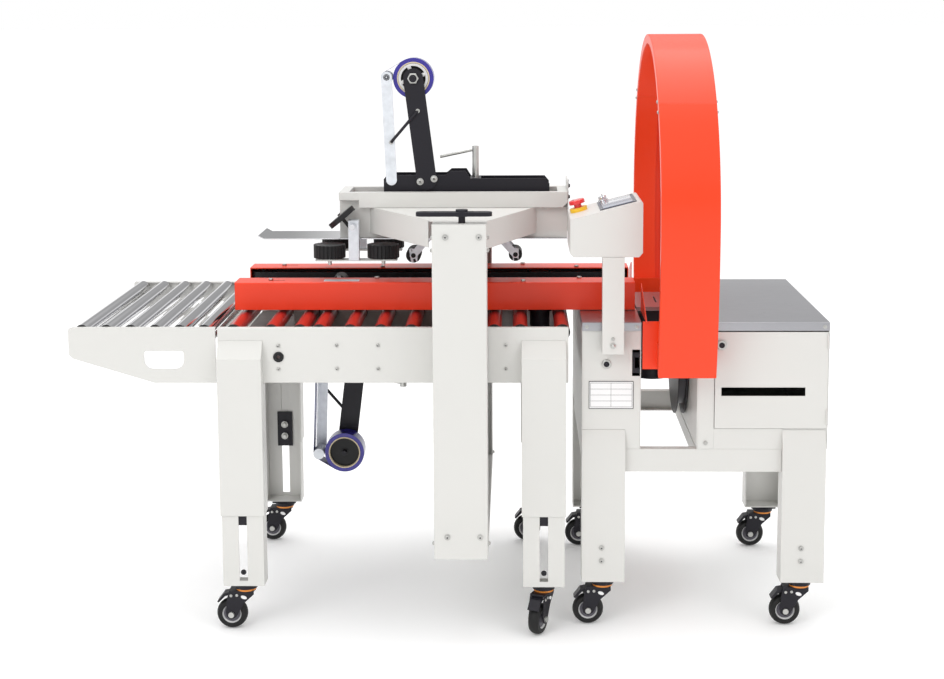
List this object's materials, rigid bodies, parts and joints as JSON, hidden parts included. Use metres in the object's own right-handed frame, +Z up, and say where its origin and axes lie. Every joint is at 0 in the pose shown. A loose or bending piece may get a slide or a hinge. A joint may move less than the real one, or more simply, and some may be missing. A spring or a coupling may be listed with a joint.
{
  "type": "carton sealer machine",
  "caption": "Carton sealing machine with side belts, upper and lower tape heads, a roller infeed table and an arch strapping unit, on swivel castors.",
  "frame": {"origin": "on the floor under the middle of the whole machine", "axes": "+X is the way a carton travels, +Y is away from the operator's side, +Z is up"},
  "size_m": [1.807, 0.8916, 1.424],
  "materials": {
    "painted_white": "fine-textured powder coat",
    "zinc_steel": "zinc plated",
    "chrome_roller": "bright chrome",
    "red_roller": "smooth sleeve",
    "black_steel": "black satin coat",
    "black_plastic": "moulded, ribbed",
    "tape_blue": "wound clear-backed tape",
    "painted_red": "semi-gloss powder coat",
    "belt_rubber": "smooth drive belt",
    "stainless": "brushed",
    "arch_red": "semi-gloss orange red",
    "box_white": "fine texture",
    "estop_red": "gloss",
    "castor_steel": "black satin",
    "castor_tyre": "rubber on a pale hub"
  },
  "bodies": {
    "root": {"frame_side_plates": "painted_white", "frame_crossmembers": "zinc_steel", "leg_sleeves": "painted_white", "leg_extensions": "painted_white", "strapper_frame": "painted_white", "screws_and_clamps": "zinc_steel", "infeed_frame": "painted_white", "deck_rollers": "red_roller", "lower_head_plates": "black_steel", "strapper_cabinets": "painted_white", "strapper_table": "stainless", "strapping_arch": "arch_red", "sealing_head": "zinc_steel", "control_box": "box_white"},
    "gantry": {"gantry_columns": "painted_white", "chain_crossbeam": "painted_white", "head_arms": "painted_white", "head_frame": "painted_white", "upper_head_plates": "black_steel"},
    "crank": {"height_crank": "black_steel"},
    "back_screw": {"lead_screw_back": "zinc_steel"},
    "press_front": {"press_wheels_front": "black_plastic"},
    "press_back": {"press_wheels_back": "black_plastic"},
    "belt_front": {"belt_cover_front": "painted_red", "side_belt_front": "belt_rubber"},
    "belt_back": {"belt_cover_back": "painted_red", "side_belt_back": "belt_rubber"},
    "drum_front": {"drive_pulley_front": "zinc_steel"},
    "drum_back": {"drive_pulley_back": "zinc_steel"},
    "upper_roll": {"upper_tape_roll": "tape_blue"},
    "lower_roll": {"lower_tape_roll": "tape_blue"},
    "upper_front_arm": {"upper_front_wiper": "zinc_steel"},
    "upper_rear_arm": {"upper_rear_wiper": "zinc_steel"},
    "lower_front_arm": {"lower_front_wiper": "zinc_steel"},
    "lower_rear_arm": {"lower_rear_wiper": "zinc_steel"},
    "door": {"cabinet_door": "painted_white"},
    "estop": {"estop_button": "estop_red"},
    "reel": {"strap_reel": "black_plastic"},
    "roller_1": {"infeed_roller_1": "chrome_roller"},
    "roller_2": {"infeed_roller_2": "chrome_roller"},
    "roller_3": {"infeed_roller_3": "chrome_roller"},
    "roller_4": {"infeed_roller_4": "chrome_roller"},
    "roller_5": {"infeed_roller_5": "chrome_roller"},
    "roller_6": {"infeed_roller_6": "chrome_roller"},
    "fork_infeed_front": {"castor_fork_infeed_front": "castor_steel"},
    "wheel_infeed_front": {"castor_wheel_infeed_front": "castor_tyre"},
    "fork_infeed_back": {"castor_fork_infeed_back": "castor_steel"},
    "wheel_infeed_back": {"castor_wheel_infeed_back": "castor_tyre"},
    "fork_middle_front": {"castor_fork_middle_front": "castor_steel"},
    "wheel_middle_front": {"castor_wheel_middle_front": "castor_tyre"},
    "fork_middle_back": {"castor_fork_middle_back": "castor_steel"},
    "wheel_middle_back": {"castor_wheel_middle_back": "castor_tyre"},
    "fork_gap_front": {"castor_fork_gap_front": "castor_steel"},
    "wheel_gap_front": {"castor_wheel_gap_front": "castor_tyre"},
    "fork_gap_back": {"castor_fork_gap_back": "castor_steel"},
    "wheel_gap_back": {"castor_wheel_gap_back": "castor_tyre"},
    "fork_outfeed_front": {"castor_fork_outfeed_front": "castor_steel"},
    "wheel_outfeed_front": {"castor_wheel_outfeed_front": "castor_tyre"},
    "fork_outfeed_back": {"castor_fork_outfeed_back": "castor_steel"},
    "wheel_outfeed_back": {"castor_wheel_outfeed_back": "castor_tyre"}
  },
  "joints": [
    {"name": "gantry_lift", "type": "slide", "parent": "root", "child": "gantry", "axis": [0, 0, 1], "range_m": [-0.03, 0.33]},
    {"name": "crank_turn", "type": "hinge", "parent": "gantry", "child": "crank", "pos_m": [0.0377, -0.405, 1], "axis": [0, 0, 1], "range_deg": [-558, 5958]},
    {"name": "back_screw_turn", "type": "hinge", "parent": "gantry", "child": "back_screw", "pos_m": [0.0377, 0.405, 0.6], "axis": [0, 0, 1], "range_deg": [-558, 5958]},
    {"name": "press_front_slide", "type": "slide", "parent": "gantry", "child": "press_front", "axis": [0, -1, 0], "range_m": [0, 0.03]},
    {"name": "press_back_slide", "type": "slide", "parent": "gantry", "child": "press_back", "axis": [0, 1, 0], "range_m": [0, 0.03]},
    {"name": "belt_front_slide", "type": "slide", "parent": "root", "child": "belt_front", "axis": [0, -1, 0], "range_m": [-0.01, 0.155]},
    {"name": "belt_back_slide", "type": "slide", "parent": "root", "child": "belt_back", "axis": [0, 1, 0], "range_m": [-0.01, 0.155]},
    {"name": "drum_front_spin", "type": "hinge", "parent": "belt_front", "child": "drum_front", "pos_m": [0.222, -0.1035, 0.784], "axis": [0, 0, 1], "continuous": true},
    {"name": "drum_back_spin", "type": "hinge", "parent": "belt_back", "child": "drum_back", "pos_m": [0.222, 0.1035, 0.784], "axis": [0, 0, 1], "continuous": true},
    {"name": "upper_roll_spin", "type": "hinge", "parent": "gantry", "child": "upper_roll", "pos_m": [-0.094, 0, 1.317], "axis": [0, 1, 0], "continuous": true},
    {"name": "lower_roll_spin", "type": "hinge", "parent": "root", "child": "lower_roll", "pos_m": [-0.284, 0, 0.348], "axis": [0, 1, 0], "continuous": true},
    {"name": "upper_front_wipe", "type": "hinge", "parent": "gantry", "child": "upper_front_arm", "pos_m": [-0.03, 0, 0.95], "axis": [0, 1, 0], "range_deg": [0, 30], "stiffness_Nm_per_rad": 2, "springref_deg": -28.65},
    {"name": "upper_rear_wipe", "type": "hinge", "parent": "gantry", "child": "upper_rear_arm", "pos_m": [0.09, 0, 0.95], "axis": [0, -1, 0], "range_deg": [0, 30]},
    {"name": "lower_front_wipe", "type": "hinge", "parent": "root", "child": "lower_front_arm", "pos_m": [-0.22, 0, 0.715], "axis": [0, -1, 0], "range_deg": [0, 30], "stiffness_Nm_per_rad": 4, "springref_deg": -68.75},
    {"name": "lower_rear_wipe", "type": "hinge", "parent": "root", "child": "lower_rear_arm", "pos_m": [-0.1, 0, 0.715], "axis": [0, 1, 0], "range_deg": [0, 30]},
    {"name": "door_swing", "type": "hinge", "parent": "root", "child": "door", "pos_m": [0.901, -0.3186, 0.612], "axis": [0, 0, 1], "range_deg": [0, 100]},
    {"name": "estop_press", "type": "slide", "parent": "root", "child": "estop", "axis": [0.2479, 0, -0.9688], "range_m": [0, 0.003]},
    {"name": "reel_spin", "type": "hinge", "parent": "root", "child": "reel", "pos_m": [0.578, 0, 0.6], "axis": [1, 0, 0], "continuous": true},
    {"name": "roller_1_spin", "type": "hinge", "parent": "root", "child": "roller_1", "pos_m": [-0.875, 0, 0.727], "axis": [0, 1, 0], "continuous": true},
    {"name": "roller_2_spin", "type": "hinge", "parent": "root", "child": "roller_2", "pos_m": [-0.8163, 0, 0.727], "axis": [0, 1, 0], "continuous": true},
    {"name": "roller_3_spin", "type": "hinge", "parent": "root", "child": "roller_3", "pos_m": [-0.7576, 0, 0.727], "axis": [0, 1, 0], "continuous": true},
    {"name": "roller_4_spin", "type": "hinge", "parent": "root", "child": "roller_4", "pos_m": [-0.6989, 0, 0.727], "axis": [0, 1, 0], "continuous": true},
    {"name": "roller_5_spin", "type": "hinge", "parent": "root", "child": "roller_5", "pos_m": [-0.6402, 0, 0.727], "axis": [0, 1, 0], "continuous": true},
    {"name": "roller_6_spin", "type": "hinge", "parent": "root", "child": "roller_6", "pos_m": [-0.5815, 0, 0.727], "axis": [0, 1, 0], "continuous": true},
    {"name": "infeed_front_swivel", "type": "hinge", "parent": "root", "child": "fork_infeed_front", "pos_m": [-0.4927, -0.333, 0.1], "axis": [0, 0, 1], "continuous": true},
    {"name": "infeed_front_wheel_spin", "type": "hinge", "parent": "fork_infeed_front", "child": "wheel_infeed_front", "pos_m": [-0.5277, -0.333, 0.0375], "axis": [0, -1, 0], "continuous": true},
    {"name": "infeed_back_swivel", "type": "hinge", "parent": "root", "child": "fork_infeed_back", "pos_m": [-0.4927, 0.333, 0.1], "axis": [0, 0, 1], "continuous": true},
    {"name": "infeed_back_wheel_spin", "type": "hinge", "parent": "fork_infeed_back", "child": "wheel_infeed_back", "pos_m": [-0.5277, 0.333, 0.0375], "axis": [0, -1, 0], "continuous": true},
    {"name": "middle_front_swivel", "type": "hinge", "parent": "root", "child": "fork_middle_front", "pos_m": [0.2274, -0.333, 0.1], "axis": [0, 0, 1], "continuous": true},
    {"name": "middle_front_wheel_spin", "type": "hinge", "parent": "fork_middle_front", "child": "wheel_middle_front", "pos_m": [0.21372, -0.36522, 0.0375], "axis": [0.9205, -0.3907, 0], "continuous": true},
    {"name": "middle_back_swivel", "type": "hinge", "parent": "root", "child": "fork_middle_back", "pos_m": [0.2274, 0.333, 0.1], "axis": [0, 0, 1], "continuous": true},
    {"name": "middle_back_wheel_spin", "type": "hinge", "parent": "fork_middle_back", "child": "wheel_middle_back", "pos_m": [0.1924, 0.333, 0.0375], "axis": [0, -1, 0], "continuous": true},
    {"name": "gap_front_swivel", "type": "hinge", "parent": "root", "child": "fork_gap_front", "pos_m": [0.3706, -0.294, 0.1], "axis": [0, 0, 1], "continuous": true},
    {"name": "gap_front_wheel_spin", "type": "hinge", "parent": "fork_gap_front", "child": "wheel_gap_front", "pos_m": [0.3356, -0.294, 0.0375], "axis": [0, -1, 0], "continuous": true},
    {"name": "gap_back_swivel", "type": "hinge", "parent": "root", "child": "fork_gap_back", "pos_m": [0.3706, 0.294, 0.1], "axis": [0, 0, 1], "continuous": true},
    {"name": "gap_back_wheel_spin", "type": "hinge", "parent": "fork_gap_back", "child": "wheel_gap_back", "pos_m": [0.3356, 0.294, 0.0375], "axis": [0, -1, 0], "continuous": true},
    {"name": "outfeed_front_swivel", "type": "hinge", "parent": "root", "child": "fork_outfeed_front", "pos_m": [0.8476, -0.294, 0.1], "axis": [0, 0, 1], "continuous": true},
    {"name": "outfeed_front_wheel_spin", "type": "hinge", "parent": "fork_outfeed_front", "child": "wheel_outfeed_front", "pos_m": [0.8126, -0.294, 0.0375], "axis": [0, -1, 0], "continuous": true},
    {"name": "outfeed_back_swivel", "type": "hinge", "parent": "root", "child": "fork_outfeed_back", "pos_m": [0.8476, 0.294, 0.1], "axis": [0, 0, 1], "continuous": true},
    {"name": "outfeed_back_wheel_spin", "type": "hinge", "parent": "fork_outfeed_back", "child": "wheel_outfeed_back", "pos_m": [0.8126, 0.294, 0.0375], "axis": [0, -1, 0], "continuous": true}
  ],
  "couplings": [
    {"joint": "belt_back_slide", "follows": "belt_front_slide", "ratio": 1},
    {"joint": "upper_rear_wipe", "follows": "upper_front_wipe", "ratio": 1},
    {"joint": "lower_rear_wipe", "follows": "lower_front_wipe", "ratio": 1},
    {"joint": "crank_turn", "follows": "gantry_lift", "rad_per_m": 314.16},
    {"joint": "back_screw_turn", "follows": "gantry_lift", "rad_per_m": 314.16}
  ]
}
